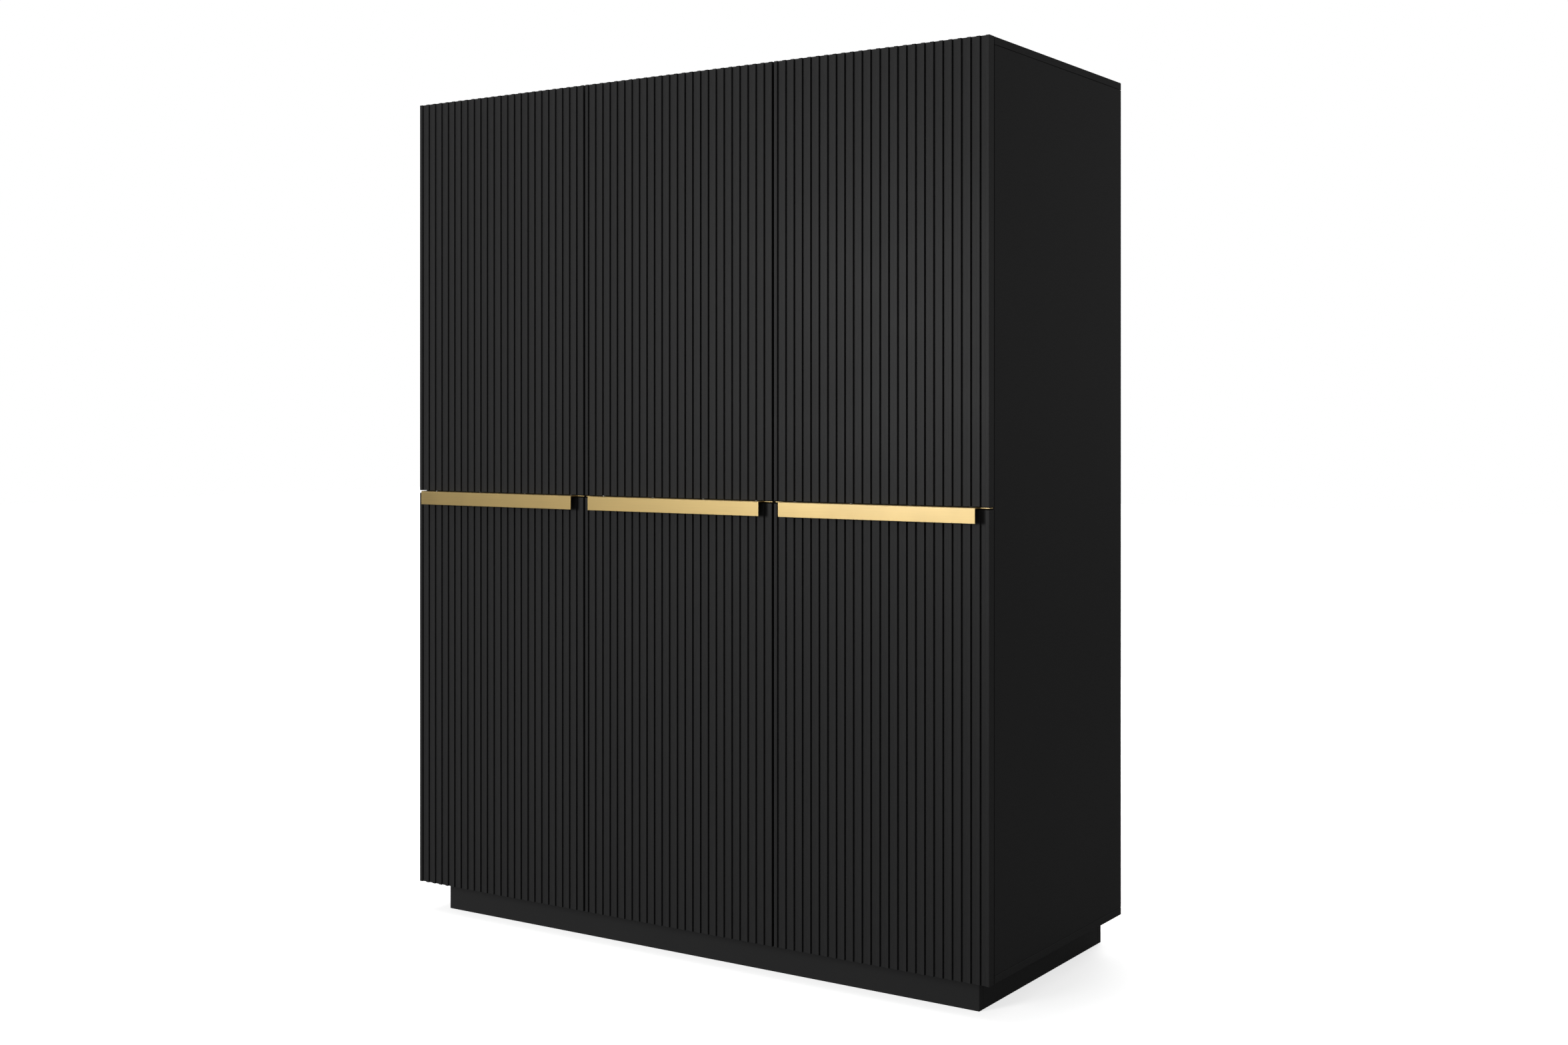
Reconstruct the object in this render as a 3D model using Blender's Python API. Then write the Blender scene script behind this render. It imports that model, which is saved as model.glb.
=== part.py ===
"""Wardrobe with three columns of fluted doors, an upper and a lower leaf in each column.

The carcass boards, doors, folded handles, concealed hinges and push latches are separate pieces.
Frame: metres, +Z up, +X to the right and +Y to the back, seen from the front.
Origin: the middle of the footprint, on the floor.
"""
import math

import bmesh
import bpy
from mathutils import Matrix, Vector

# Overall sizes
WIDTH = 1.530
HEIGHT = 1.936
BODY_DEPTH = 0.645            # from the doors' slats to the back edges of the carcass
LIP_REACH = 0.018             # a handle's lip, in front of the slats
TOUCH_GAP = 0.0003            # between pieces that rest on each other

# Carcass
BOARD = 0.016
BACK_BOARD = 0.003
EDGE_ROUND = 0.0008
GROOVE_DEPTH = 0.006          # in the boards that hold the back panels
GROOVE_INSET = 0.014          # from the carcass's back edges to the groove
GROOVE_STOP = 0.008            # from the ends of the top and bottom panels to their grooves
SHELF_SETBACK = 0.030
SHELF_SIDE_PLAY = 0.001
SHELVES_PER_HALF = 2

# Plinth
PLINTH_HEIGHT = 0.070
PLINTH_INSET = 0.049
PLINTH_SETBACK = 0.053        # behind the slats

# Door leaves
DOOR_GAP = 0.0055             # between columns
DOOR_THICKNESS = 0.021
DOOR_STANDOFF = 0.002         # between a leaf's back and the carcass
LOWER_LEAF_TOP = 1.0042
UPPER_LEAF_BOTTOM = 1.0104
SLAT_COUNT = 25
SLAT_WIDTH = 0.0080
CENTRE_SLAT_EXTRA = 0.0007
FLUTE_DEPTH = 0.0042
SLAT_CHAMFER = 0.0005

# Handles, folded from sheet metal
SHEET = 0.002
PLATE_BOTTOM = 1.0067
PLATE_END_INSET = 0.001
PLATE_BACK = 0.019            # behind the slats
LIP_END_INSET = 0.022
LIP_HEIGHT = 0.031
BOSS_RADIUS = 0.005
BOSS_COUNT = 4
BOSS_END_INSET = 0.045

# Concealed hinges; a leaf turns on an axis inside its own thickness
PIVOT_INBOARD = 0.0045        # from the leaf's hinge edge
PIVOT_DEPTH = 0.008           # behind the slats
HINGE_END_DISTANCE = 0.110    # from a leaf's top and bottom to its hinges
CUP_RADIUS = 0.0175
CUP_DEPTH = 0.0115
CUP_WALL = 0.0015
CUP_CENTRE = 0.0225           # from the leaf's hinge edge
FLANGE = (0.028, 0.0010, 0.062)
FLANGE_CORNER = 0.006
ARM_HEIGHT = 0.014
ARM_THICKNESS = 0.011
ARM_LENGTH = 0.062
ARM_TIP_START = 0.017         # from the leaf's hinge edge
ARM_HEEL = 0.022              # from the carcass front to where the arm bends off its board
ARM_FLARE = 0.012             # length over which the arm widens behind its heel
WING_START, WING_END = 0.027, 0.047
WING_HEIGHT = 0.048
WING_THICKNESS = 0.0025

# Push latches on the fixed shelves
LATCH_BODY = (0.014, 0.062, 0.016)
LATCH_EDGE_DISTANCE = 0.050   # from the leaf's free edge
PLUNGER_RADIUS = 0.004
PLUNGER_LENGTH = 0.032
PLUNGER_BORE_DEPTH = 0.042

# Clothes rail
RAIL_WIDTH, RAIL_HEIGHT, RAIL_WALL = 0.015, 0.030, 0.001
RAIL_DROP = 0.062             # from the top panel to the rail's middle
SOCKET_BASE = 0.004
SOCKET_GRIP = 0.012
SOCKET_WALL = 0.0035

# Mesh detail
ROUND_SIDES = 32
SMALL_ROUND_SIDES = 20
CORNER_STEPS = 4
SHARP_ANGLE = math.radians(40)
CUT_MARGIN = 0.010            # that a cutter runs past the face it opens

# Worked-out places
SLAT_Y = LIP_REACH - (BODY_DEPTH + LIP_REACH) / 2
BACK_Y = SLAT_Y + BODY_DEPTH
CARCASS_Y = SLAT_Y + DOOR_THICKNESS + DOOR_STANDOFF
LEFT_X, RIGHT_X = -WIDTH / 2, WIDTH / 2
DOOR_WIDTH = (WIDTH - 2 * DOOR_GAP) / 3
COLUMNS = ("left", "middle", "right")
COLUMN_X = {name: LEFT_X + index * (DOOR_WIDTH + DOOR_GAP) for index, name in enumerate(COLUMNS)}
LEAVES = {"lower": (PLINTH_HEIGHT, LOWER_LEAF_TOP), "upper": (UPPER_LEAF_BOTTOM, HEIGHT)}
SPLIT_Z = (LOWER_LEAF_TOP + UPPER_LEAF_BOTTOM) / 2
INNER_BOTTOM = PLINTH_HEIGHT + BOARD
INNER_TOP = HEIGHT - BOARD
PARTITION_X = COLUMN_X["right"] - DOOR_GAP / 2
INNER_LEFT = LEFT_X + BOARD
INNER_RIGHT = RIGHT_X - BOARD
PARTITION_LEFT = PARTITION_X - BOARD / 2
PARTITION_RIGHT = PARTITION_X + BOARD / 2
GROOVE_Y = BACK_Y - GROOVE_INSET

# The side of each column that carries its hinges, and the board face that they are screwed to
HINGE_SIDE = {"left": -1, "middle": 1, "right": 1}
HINGE_FACE = {"left": INNER_LEFT, "middle": PARTITION_LEFT, "right": INNER_RIGHT}


def make_material(name, colour, roughness, metallic):
    """Return a plain Principled material."""
    material = bpy.data.materials.new(name)
    material.use_nodes = True
    shader = material.node_tree.nodes["Principled BSDF"]
    shader.inputs["Base Color"].default_value = (*colour, 1.0)
    shader.inputs["Roughness"].default_value = roughness
    shader.inputs["Metallic"].default_value = metallic
    return material


def clear_scene():
    """Remove every object that the scene starts with."""
    for item in list(bpy.data.objects):
        bpy.data.objects.remove(item, do_unlink=True)


def add_object(name, mesh, material, origin=(0, 0, 0), parent=None):
    """Link an object whose mesh is drawn in world places, and put its origin at the given point."""
    item = bpy.data.objects.new(name, mesh)
    bpy.context.collection.objects.link(item)
    if material and not mesh.materials:
        mesh.materials.append(material)
    if parent:
        item.parent = parent
        item.location = Vector(origin) - parent.location
    else:
        item.location = Vector(origin)
    return item


def finish_mesh(name, bm, origin=(0, 0, 0)):
    """Turn a bmesh that is drawn in world places into a mesh around the given origin."""
    bmesh.ops.recalc_face_normals(bm, faces=bm.faces)
    bmesh.ops.translate(bm, verts=bm.verts, vec=-Vector(origin))
    mesh = bpy.data.meshes.new(name)
    bm.to_mesh(mesh)
    bm.free()
    return mesh


def box_bmesh(low, high):
    """Return a bmesh of the box between two corners."""
    bm = bmesh.new()
    bmesh.ops.create_cube(bm, size=1.0)
    size = [top - bottom for bottom, top in zip(low, high)]
    centre = [(top + bottom) / 2 for bottom, top in zip(low, high)]
    bmesh.ops.scale(bm, verts=bm.verts, vec=size)
    bmesh.ops.translate(bm, verts=bm.verts, vec=centre)
    return bm


def prism_bmesh(outline, start, direction):
    """Extrude a closed outline of 3-D points, which lies at start, along a direction."""
    bm = bmesh.new()
    corners = [bm.verts.new(Vector(start) + Vector(point)) for point in outline]
    face = bm.faces.new(corners)
    extruded = bmesh.ops.extrude_face_region(bm, geom=[face])
    moved = [element for element in extruded["geom"] if isinstance(element, bmesh.types.BMVert)]
    bmesh.ops.translate(bm, verts=moved, vec=direction)
    return bm


def rod_bmesh(radius, start, end, sides=ROUND_SIDES):
    """Return a closed cylinder between two points."""
    start, end = Vector(start), Vector(end)
    bm = bmesh.new()
    turn = (end - start).to_track_quat("Z", "Y").to_matrix().to_4x4()
    bmesh.ops.create_cone(bm, cap_ends=True, segments=sides, radius1=radius, radius2=radius,
                          depth=(end - start).length, matrix=Matrix.Translation((start + end) / 2) @ turn)
    return bm


def add_boolean(item, tool, operation):
    """Unite a helper object with an object, or cut it out, by an exact Boolean."""
    tool.hide_render = True
    tool.display_type = "WIRE"
    modifier = item.modifiers.new(tool.name, "BOOLEAN")
    modifier.operation = operation
    modifier.solver = "EXACT"
    modifier.object = tool


def helper(name, bm, parent=None):
    """Return a hidden object that only shapes another one."""
    origin = parent.location if parent else (0, 0, 0)
    return add_object(name, finish_mesh(name, bm, origin), None, origin, parent)


def add_bevel(item, width, segments=1):
    """Round an object's sharp edges."""
    modifier = item.modifiers.new("edge", "BEVEL")
    modifier.width = width
    modifier.segments = segments
    modifier.limit_method = "ANGLE"
    modifier.angle_limit = SHARP_ANGLE


def smooth_mesh(mesh):
    """Shade the round faces smooth and keep the corners sharp."""
    mesh.shade_smooth()
    mesh.set_sharp_from_angle(angle=SHARP_ANGLE)


def board(name, low, high, material, rounded=True):
    """Add a flat board between two corners."""
    item = add_object(name, finish_mesh(name, box_bmesh(low, high)), material)
    if rounded:
        add_bevel(item, EDGE_ROUND)
    return item


# ---------------------------------------------------------------- carcass

def grooved_upright(name, left, right, groove_sides, material):
    """Add a side or the partition, with a groove in each face that meets a back panel."""
    low = (left, CARCASS_Y, INNER_BOTTOM + TOUCH_GAP)
    high = (right, BACK_Y, INNER_TOP - TOUCH_GAP)
    item = board(name, low, high, material)
    groove_back = GROOVE_Y + BACK_BOARD + 2 * TOUCH_GAP
    for side in groove_sides:
        face = right if side > 0 else left
        inner, outer = sorted((face - side * GROOVE_DEPTH, face + side * CUT_MARGIN))
        tool = box_bmesh((inner, GROOVE_Y, low[2] - CUT_MARGIN),
                         (outer, groove_back, high[2] + CUT_MARGIN))
        label = "right" if side > 0 else "left"
        add_boolean(item, helper(f"groove_tool_{name}_{label}", tool), "DIFFERENCE")


def grooved_level(name, bottom, top, groove_face, material):
    """Add the top or the bottom panel, with a long groove in the face that looks inside."""
    item = board(name, (LEFT_X, CARCASS_Y, bottom), (RIGHT_X, BACK_Y, top), material)
    inward = 1 if groove_face == top else -1
    low_z, high_z = sorted((groove_face - inward * GROOVE_DEPTH, groove_face + inward * CUT_MARGIN))
    tool = box_bmesh((LEFT_X + GROOVE_STOP, GROOVE_Y, low_z),
                     (RIGHT_X - GROOVE_STOP, GROOVE_Y + BACK_BOARD + 2 * TOUCH_GAP, high_z))
    add_boolean(item, helper(f"groove_tool_{name}", tool), "DIFFERENCE")


def build_carcass(board_material, back_material):
    """Add the sides, top, bottom, partition, fixed shelves and back panels."""
    uprights = {
        "side_left": (LEFT_X, INNER_LEFT, (1,)),
        "side_right": (INNER_RIGHT, RIGHT_X, (-1,)),
        "partition": (PARTITION_LEFT, PARTITION_RIGHT, (-1, 1)),
    }
    for name, (left, right, groove_sides) in uprights.items():
        grooved_upright(name, left, right, groove_sides, board_material)
    grooved_level("top_panel", INNER_TOP, HEIGHT, INNER_TOP, board_material)
    grooved_level("bottom_panel", PLINTH_HEIGHT, INNER_BOTTOM, INNER_BOTTOM, board_material)

    bays = {"wide": (INNER_LEFT, PARTITION_LEFT), "narrow": (PARTITION_RIGHT, INNER_RIGHT)}
    tongue = GROOVE_DEPTH - TOUCH_GAP
    panel_y = GROOVE_Y + TOUCH_GAP
    for bay, (left, right) in bays.items():
        board(f"fixed_shelf_{bay}",
              (left + TOUCH_GAP, CARCASS_Y, SPLIT_Z - BOARD / 2),
              (right - TOUCH_GAP, GROOVE_Y - TOUCH_GAP, SPLIT_Z + BOARD / 2), board_material)
        board(f"back_panel_{bay}",
              (left - tongue, panel_y, INNER_BOTTOM - tongue),
              (right + tongue, panel_y + BACK_BOARD, INNER_TOP + tongue), back_material, rounded=False)


def build_shelves(board_material):
    """Add the loose shelves of the narrow bay, evenly spaced above and below the fixed shelf."""
    halves = {
        "lower": (INNER_BOTTOM, SPLIT_Z - BOARD / 2),
        "upper": (SPLIT_Z + BOARD / 2, INNER_TOP),
    }
    for half, (bottom, top) in halves.items():
        step = (top - bottom) / (SHELVES_PER_HALF + 1)
        for index in range(1, SHELVES_PER_HALF + 1):
            middle = bottom + index * step
            board(f"shelf_{half}_{index}",
                  (PARTITION_RIGHT + SHELF_SIDE_PLAY, CARCASS_Y + SHELF_SETBACK, middle - BOARD / 2),
                  (INNER_RIGHT - SHELF_SIDE_PLAY, GROOVE_Y - SHELF_SIDE_PLAY, middle + BOARD / 2),
                  board_material)


def build_plinth(board_material):
    """Add the four boards of the recessed base."""
    left, right = LEFT_X + PLINTH_INSET, RIGHT_X - PLINTH_INSET
    front = SLAT_Y + PLINTH_SETBACK
    top = PLINTH_HEIGHT - TOUCH_GAP
    side_low_y, side_high_y = front + BOARD + TOUCH_GAP, BACK_Y - BOARD - TOUCH_GAP
    board("plinth_front", (left, front, 0), (right, front + BOARD, top), board_material)
    board("plinth_back", (left, BACK_Y - BOARD, 0), (right, BACK_Y, top), board_material)
    board("plinth_left", (left, side_low_y, 0), (left + BOARD, side_high_y, top), board_material)
    board("plinth_right", (right - BOARD, side_low_y, 0), (right, side_high_y, top), board_material)


# ---------------------------------------------------------------- clothes rail

def stadium_outline(width, height, x):
    """Points of an upright slot shape in the YZ plane at x, with round top and bottom."""
    radius = width / 2
    straight = height / 2 - radius
    steps = SMALL_ROUND_SIDES // 2
    points = []
    for middle, start in ((straight, 0.0), (-straight, math.pi)):
        for index in range(steps + 1):
            angle = start + math.pi * index / steps
            points.append((x, radius * math.cos(angle), middle + radius * math.sin(angle)))
    return points


def build_rail(rail_material, socket_material):
    """Add the oval rail of the wide bay and the socket that holds each end."""
    middle_y = (CARCASS_Y + GROOVE_Y) / 2
    middle = Vector((0, middle_y, INNER_TOP - RAIL_DROP))
    left, right = INNER_LEFT + TOUCH_GAP, PARTITION_LEFT - TOUCH_GAP
    end_gap = SOCKET_BASE + TOUCH_GAP
    length = right - left - 2 * end_gap
    outer = prism_bmesh(stadium_outline(RAIL_WIDTH, RAIL_HEIGHT, left + end_gap), middle, (length, 0, 0))
    rail = add_object("clothes_rail", finish_mesh("clothes_rail", outer), rail_material)
    bore = prism_bmesh(stadium_outline(RAIL_WIDTH - 2 * RAIL_WALL, RAIL_HEIGHT - 2 * RAIL_WALL,
                                       left + end_gap - CUT_MARGIN),
                       middle, (length + 2 * CUT_MARGIN, 0, 0))
    add_boolean(rail, helper("rail_bore_tool", bore), "DIFFERENCE")

    for name, start, direction in (("left", left, 1), ("right", right, -1)):
        depth = SOCKET_BASE + SOCKET_GRIP
        shell = stadium_outline(RAIL_WIDTH + 2 * SOCKET_WALL, RAIL_HEIGHT + 2 * SOCKET_WALL, start)
        body = prism_bmesh(shell, middle, (direction * depth, 0, 0))
        node = f"rail_socket_{name}"
        socket = add_object(node, finish_mesh(node, body), socket_material)
        play = 2 * TOUCH_GAP
        seat = stadium_outline(RAIL_WIDTH + play, RAIL_HEIGHT + play, start + direction * SOCKET_BASE)
        pocket = prism_bmesh(seat, middle, (direction * (SOCKET_GRIP + CUT_MARGIN), 0, 0))
        add_boolean(socket, helper(f"{node}_tool", pocket), "DIFFERENCE")


# ---------------------------------------------------------------- doors

def slat_edges(index):
    """Return the left and right edge of a slat, from the leaf's left edge."""
    pitch = (DOOR_WIDTH - SLAT_WIDTH - CENTRE_SLAT_EXTRA) / (SLAT_COUNT - 1)
    centre = SLAT_COUNT // 2
    left = index * pitch + (CENTRE_SLAT_EXTRA if index > centre else 0)
    width = SLAT_WIDTH + (CENTRE_SLAT_EXTRA if index == centre else 0)
    return left, left + width


def fluted_outline():
    """Plan outline of a leaf, round its fluted front from one back corner to the other."""
    points = [(0, DOOR_THICKNESS, 0)]
    for index in range(SLAT_COUNT):
        left, right = slat_edges(index)
        if index > 0:
            points.append((left, FLUTE_DEPTH, 0))
        points.append((left, SLAT_CHAMFER, 0))
        points.append((left + SLAT_CHAMFER, 0, 0))
        points.append((right - SLAT_CHAMFER, 0, 0))
        points.append((right, SLAT_CHAMFER, 0))
        if index < SLAT_COUNT - 1:
            points.append((right, FLUTE_DEPTH, 0))
    points.append((DOOR_WIDTH, DOOR_THICKNESS, 0))
    return points


def hinge_edge_x(column):
    """Return the X of the leaf edge that carries the hinges."""
    return COLUMN_X[column] + (DOOR_WIDTH if HINGE_SIDE[column] > 0 else 0)


def hinge_heights(leaf):
    """Return the heights of a leaf's two hinges."""
    bottom, top = LEAVES[leaf]
    return bottom + HINGE_END_DISTANCE, top - HINGE_END_DISTANCE


def add_pivot(leaf, column):
    """Add the empty that stands on a leaf's turning axis."""
    pivot = bpy.data.objects.new(f"pivot_{leaf}_{column}", None)
    bpy.context.collection.objects.link(pivot)
    inboard = -HINGE_SIDE[column]
    bottom, top = LEAVES[leaf]
    pivot.location = (hinge_edge_x(column) + inboard * PIVOT_INBOARD, SLAT_Y + PIVOT_DEPTH, (bottom + top) / 2)
    return pivot


def build_leaf(leaf, column, pivot, material):
    """Add one fluted leaf with its two blind holes for the hinge cups."""
    bottom, top = LEAVES[leaf]
    name = f"door_{leaf}_{column}"
    slab = prism_bmesh(fluted_outline(), (COLUMN_X[column], SLAT_Y, bottom), (0, 0, top - bottom))
    door = add_object(name, finish_mesh(name, slab, pivot.location), material, pivot.location, pivot)
    cup_x = hinge_edge_x(column) - HINGE_SIDE[column] * CUP_CENTRE
    back = SLAT_Y + DOOR_THICKNESS
    for number, height in enumerate(hinge_heights(leaf), start=1):
        hole = rod_bmesh(CUP_RADIUS + TOUCH_GAP, (cup_x, back - CUP_DEPTH - TOUCH_GAP, height),
                         (cup_x, back + CUT_MARGIN, height))
        add_boolean(door, helper(f"cup_hole_tool_{leaf}_{column}_{number}", hole, pivot), "DIFFERENCE")


# ---------------------------------------------------------------- handles

def build_handle(column, pivot, material):
    """Add a folded handle: a plate over the lower leaf's top edge, with a lip bent down in front."""
    left, right = COLUMN_X[column], COLUMN_X[column] + DOOR_WIDTH
    plate_front, lip_front = SLAT_Y + FLUTE_DEPTH, SLAT_Y - LIP_REACH
    plate_top = PLATE_BOTTOM + SHEET
    outline = [
        (left + PLATE_END_INSET, SLAT_Y + PLATE_BACK, 0),
        (left + PLATE_END_INSET, plate_front, 0),
        (left + LIP_END_INSET, plate_front, 0),
        (left + LIP_END_INSET, lip_front, 0),
        (right - LIP_END_INSET, lip_front, 0),
        (right - LIP_END_INSET, plate_front, 0),
        (right - PLATE_END_INSET, plate_front, 0),
        (right - PLATE_END_INSET, SLAT_Y + PLATE_BACK, 0),
    ]
    plate = prism_bmesh(outline, (0, 0, PLATE_BOTTOM), (0, 0, SHEET))
    name = f"handle_{column}"
    handle = add_object(name, finish_mesh(name, plate, pivot.location), material, pivot.location, pivot)
    lip = box_bmesh((left + LIP_END_INSET, lip_front, plate_top - LIP_HEIGHT),
                    (right - LIP_END_INSET, lip_front + SHEET, plate_top))
    add_boolean(handle, helper(f"lip_tool_{column}", lip, pivot), "UNION")

    boss_y = SLAT_Y + (FLUTE_DEPTH + PLATE_BACK) / 2
    first, last = left + BOSS_END_INSET, right - BOSS_END_INSET
    for index in range(BOSS_COUNT):
        boss_x = first + (last - first) * index / (BOSS_COUNT - 1)
        boss = rod_bmesh(BOSS_RADIUS, (boss_x, boss_y, LOWER_LEAF_TOP + TOUCH_GAP),
                         (boss_x, boss_y, PLATE_BOTTOM + SHEET / 2), SMALL_ROUND_SIDES)
        add_boolean(handle, helper(f"boss_tool_{column}_{index + 1}", boss, pivot), "UNION")


# ---------------------------------------------------------------- concealed hinges

def shape_once(name, bm, tools):
    """Apply a list of (bmesh, operation) to a shape and return the mesh that the copies share."""
    source = helper(name, bm)
    extras = [helper(f"{name}_tool_{index}", tool) for index, (tool, operation) in enumerate(tools)]
    for extra, (tool, operation) in zip(extras, tools):
        add_boolean(source, extra, operation)
    graph = bpy.context.evaluated_depsgraph_get()
    mesh = bpy.data.meshes.new_from_object(source.evaluated_get(graph))
    mesh.name = name
    smooth_mesh(mesh)
    for item in (source, *extras):
        bpy.data.objects.remove(item, do_unlink=True)
    return mesh


def cup_mesh():
    """Return the hinge cup: centred on its bore, with y = 0 on the leaf's back face."""
    wide, thick, tall = FLANGE
    plate = box_bmesh((-wide / 2, TOUCH_GAP, -tall / 2), (wide / 2, TOUCH_GAP + thick, tall / 2))
    corners = [edge for edge in plate.edges if abs(edge.verts[0].co.y - edge.verts[1].co.y) > thick / 2]
    bmesh.ops.bevel(plate, geom=corners, offset=FLANGE_CORNER, offset_type="OFFSET",
                    segments=CORNER_STEPS, profile=0.5, affect="EDGES", material=-1)
    body = rod_bmesh(CUP_RADIUS, (0, -CUP_DEPTH, 0), (0, TOUCH_GAP + thick / 2, 0))
    hollow = rod_bmesh(CUP_RADIUS - CUP_WALL, (0, CUP_WALL - CUP_DEPTH, 0), (0, CUT_MARGIN, 0))
    return shape_once("hinge_cup", plate, [(body, "UNION"), (hollow, "DIFFERENCE")])


def arm_mesh(name, tip_start):
    """Return a hinge arm with its mounting plate.

    x = 0 on the board that it is screwed to, y = 0 at the carcass front, z = 0 at mid height;
    tip_start is how far from that board the front of the arm begins.
    """
    tip_end = tip_start + ARM_THICKNESS
    plan = [
        (TOUCH_GAP, ARM_LENGTH), (TOUCH_GAP, ARM_HEEL), (tip_start, ARM_HEEL / 2), (tip_start, 0),
        (tip_end, 0), (tip_end, ARM_HEEL), (ARM_THICKNESS + WING_THICKNESS, ARM_HEEL + ARM_FLARE),
        (ARM_THICKNESS, ARM_LENGTH),
    ]
    arm = prism_bmesh([(x, y, 0) for x, y in plan], (0, 0, -ARM_HEIGHT / 2), (0, 0, ARM_HEIGHT))
    wings = box_bmesh((TOUCH_GAP, WING_START, -WING_HEIGHT / 2),
                      (TOUCH_GAP + WING_THICKNESS, WING_END, WING_HEIGHT / 2))
    return shape_once(name, arm, [(wings, "UNION")])


def build_hinges(leaf, column, pivot, meshes, material):
    """Add the cups that ride in a leaf and the arms that stay on the carcass."""
    side = HINGE_SIDE[column]
    cup_x = hinge_edge_x(column) - side * CUP_CENTRE
    arm_turn = math.pi if side > 0 else 0.0
    for number, height in enumerate(hinge_heights(leaf), start=1):
        cup = add_object(f"hinge_cup_{leaf}_{column}_{number}", meshes["cup"], material,
                         (cup_x, SLAT_Y + DOOR_THICKNESS, height), pivot)
        cup.rotation_euler = (0, arm_turn, 0)
        arm = add_object(f"hinge_arm_{leaf}_{column}_{number}", meshes[column], material,
                         (HINGE_FACE[column], CARCASS_Y, height))
        arm.rotation_euler = (0, arm_turn, 0)


# ---------------------------------------------------------------- push latches

def build_latch(column, body_material, plunger_material):
    """Add a latch on the fixed shelf behind an upper leaf's free edge, and its sliding plunger."""
    side = HINGE_SIDE[column]
    free_edge = COLUMN_X[column] + (0 if side > 0 else DOOR_WIDTH)
    wide, deep, tall = LATCH_BODY
    x = free_edge + side * LATCH_EDGE_DISTANCE
    shelf_top = SPLIT_Z + BOARD / 2 + TOUCH_GAP
    z = shelf_top + tall / 2
    front = CARCASS_Y + TOUCH_GAP
    name = f"push_latch_body_{column}"
    case = add_object(name, finish_mesh(name, box_bmesh((x - wide / 2, front, shelf_top),
                                                        (x + wide / 2, front + deep, shelf_top + tall))),
                      body_material)
    bore = rod_bmesh(PLUNGER_RADIUS + TOUCH_GAP, (x, front - CUT_MARGIN, z),
                     (x, front + PLUNGER_BORE_DEPTH, z), SMALL_ROUND_SIDES)
    add_boolean(case, helper(f"latch_bore_tool_{column}", bore), "DIFFERENCE")

    tip = (x, SLAT_Y + DOOR_THICKNESS + TOUCH_GAP, z)
    rod = rod_bmesh(PLUNGER_RADIUS, tip, (x, tip[1] + PLUNGER_LENGTH, z), SMALL_ROUND_SIDES)
    name = f"push_latch_plunger_{column}"
    mesh = finish_mesh(name, rod, tip)
    smooth_mesh(mesh)
    add_object(name, mesh, plunger_material, tip)


# ---------------------------------------------------------------- whole wardrobe

def build_wardrobe():
    """Build every piece of the wardrobe."""
    clear_scene()
    lacquer = make_material("door_lacquer", (0.024, 0.024, 0.025), 0.42, 0.0)
    carcass = make_material("carcass_laminate", (0.018, 0.018, 0.019), 0.55, 0.0)
    back = make_material("back_hardboard", (0.045, 0.043, 0.040), 0.75, 0.0)
    gold = make_material("handle_metal", (0.83, 0.64, 0.33), 0.38, 1.0)
    steel = make_material("hinge_steel", (0.56, 0.56, 0.57), 0.32, 1.0)
    plastic = make_material("latch_plastic", (0.06, 0.06, 0.06), 0.5, 0.0)

    build_carcass(carcass, back)
    build_shelves(carcass)
    build_plinth(carcass)
    build_rail(steel, plastic)

    meshes = {"cup": cup_mesh()}
    for column in COLUMNS:
        overlay = abs(HINGE_FACE[column] - hinge_edge_x(column))
        meshes[column] = arm_mesh(f"hinge_arm_{column}", ARM_TIP_START - overlay)
    for leaf in LEAVES:
        for column in COLUMNS:
            pivot = add_pivot(leaf, column)
            build_leaf(leaf, column, pivot, lacquer)
            build_hinges(leaf, column, pivot, meshes, steel)
            if leaf == "lower":
                build_handle(column, pivot, gold)
            else:
                build_latch(column, plastic, plastic)


if __name__ == "__main__":
    build_wardrobe()
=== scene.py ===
"""Looks of the fluted wardrobe: finishes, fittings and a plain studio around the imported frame.

Every piece rides on a body of the frame. Places come from the frame's own nodes, in metres,
+X to the right, +Y to the back and +Z up. Each sub-assembly is a class with its sizes as fields.
"""
import logging
import math
from dataclasses import dataclass, field
from enum import Enum
from typing import Callable, Iterable, Optional, Sequence

import bmesh
import bpy
from mathutils import Matrix, Vector


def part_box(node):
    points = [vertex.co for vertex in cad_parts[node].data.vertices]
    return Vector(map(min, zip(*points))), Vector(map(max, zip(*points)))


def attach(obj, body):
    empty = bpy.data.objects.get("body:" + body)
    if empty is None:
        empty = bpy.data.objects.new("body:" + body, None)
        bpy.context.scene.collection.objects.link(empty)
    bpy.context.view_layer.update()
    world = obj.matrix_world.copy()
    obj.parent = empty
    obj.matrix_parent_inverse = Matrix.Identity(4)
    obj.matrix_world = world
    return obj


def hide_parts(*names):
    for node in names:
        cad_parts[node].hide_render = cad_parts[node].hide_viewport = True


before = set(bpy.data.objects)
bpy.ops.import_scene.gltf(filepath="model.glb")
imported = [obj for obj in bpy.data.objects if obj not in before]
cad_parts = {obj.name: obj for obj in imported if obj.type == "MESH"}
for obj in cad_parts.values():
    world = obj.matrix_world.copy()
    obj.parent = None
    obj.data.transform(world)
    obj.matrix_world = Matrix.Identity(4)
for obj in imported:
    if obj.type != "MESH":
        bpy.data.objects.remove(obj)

log = logging.getLogger("wardrobe")
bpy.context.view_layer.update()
CARCASS = "carcass"
HINGES_PER_LEAF = (1, 2)

# Number of sides of round shapes
ROUND = 24
CUP_ROUND = 40
SCREW_ROUND = 20
PIN_ROUND = 16

# The values that a noise mostly stays between, and the whole range
NOISE_BAND = (0.3, 0.7)
FULL_BAND = (0.0, 1.0)

# Limits for what counts as the same place, the same direction and a corner
SAME_PLACE = 1e-5
SAME_WAY = 0.9
CORNER_ANGLE = math.radians(60)


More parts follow.
